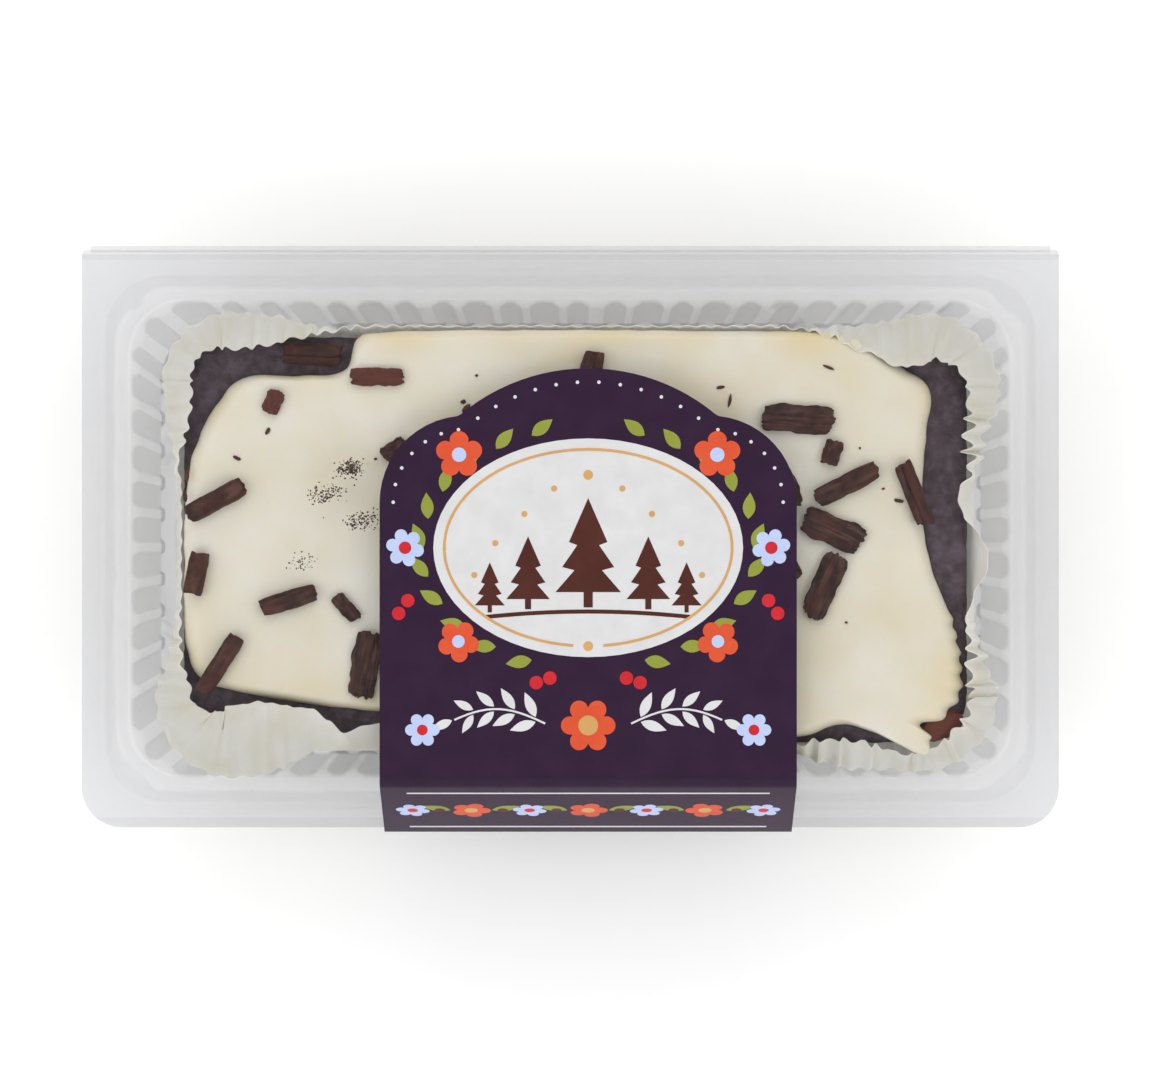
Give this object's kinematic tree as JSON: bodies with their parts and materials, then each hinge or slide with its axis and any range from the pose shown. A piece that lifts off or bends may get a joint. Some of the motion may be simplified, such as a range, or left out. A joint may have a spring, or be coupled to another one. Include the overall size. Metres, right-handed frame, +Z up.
{
  "type": "packed chocolate loaf cake",
  "caption": "Iced chocolate loaf cake with chocolate curls in a paper case, inside a shut clear hinged pack with a card band.",
  "frame": {"origin": "centre of the pack's footprint, on the surface it stands on", "axes": "+X along the pack, to the right when its hinge is behind; +Y towards the hinge; +Z up through the lid"},
  "size_m": [0.22, 0.1321, 0.063],
  "materials": {
    "clear_film": "clear",
    "sponge": "crumbly",
    "baking_paper": "matt",
    "icing": "satin",
    "printed_card": "satin",
    "chocolate": "satin"
  },
  "bodies": {
    "root": {"tray": "clear_film", "lid": "clear_film", "cake": "sponge", "paper_case": "baking_paper", "icing": "icing", "card": "printed_card", "chocolate_01": "chocolate", "chocolate_02": "chocolate", "chocolate_03": "chocolate", "chocolate_04": "chocolate", "chocolate_05": "chocolate", "chocolate_06": "chocolate", "chocolate_07": "chocolate", "chocolate_08": "chocolate", "chocolate_09": "chocolate", "chocolate_10": "chocolate", "chocolate_11": "chocolate", "chocolate_12": "chocolate", "chocolate_13": "chocolate", "chocolate_14": "chocolate", "chocolate_15": "chocolate", "chocolate_16": "chocolate", "chocolate_17": "chocolate", "chocolate_18": "chocolate", "chocolate_19": "chocolate", "chocolate_20": "chocolate", "chocolate_21": "chocolate", "chocolate_22": "chocolate", "chocolate_23": "chocolate", "chocolate_24": "chocolate", "chocolate_25": "chocolate"}
  },
  "joints": []
}
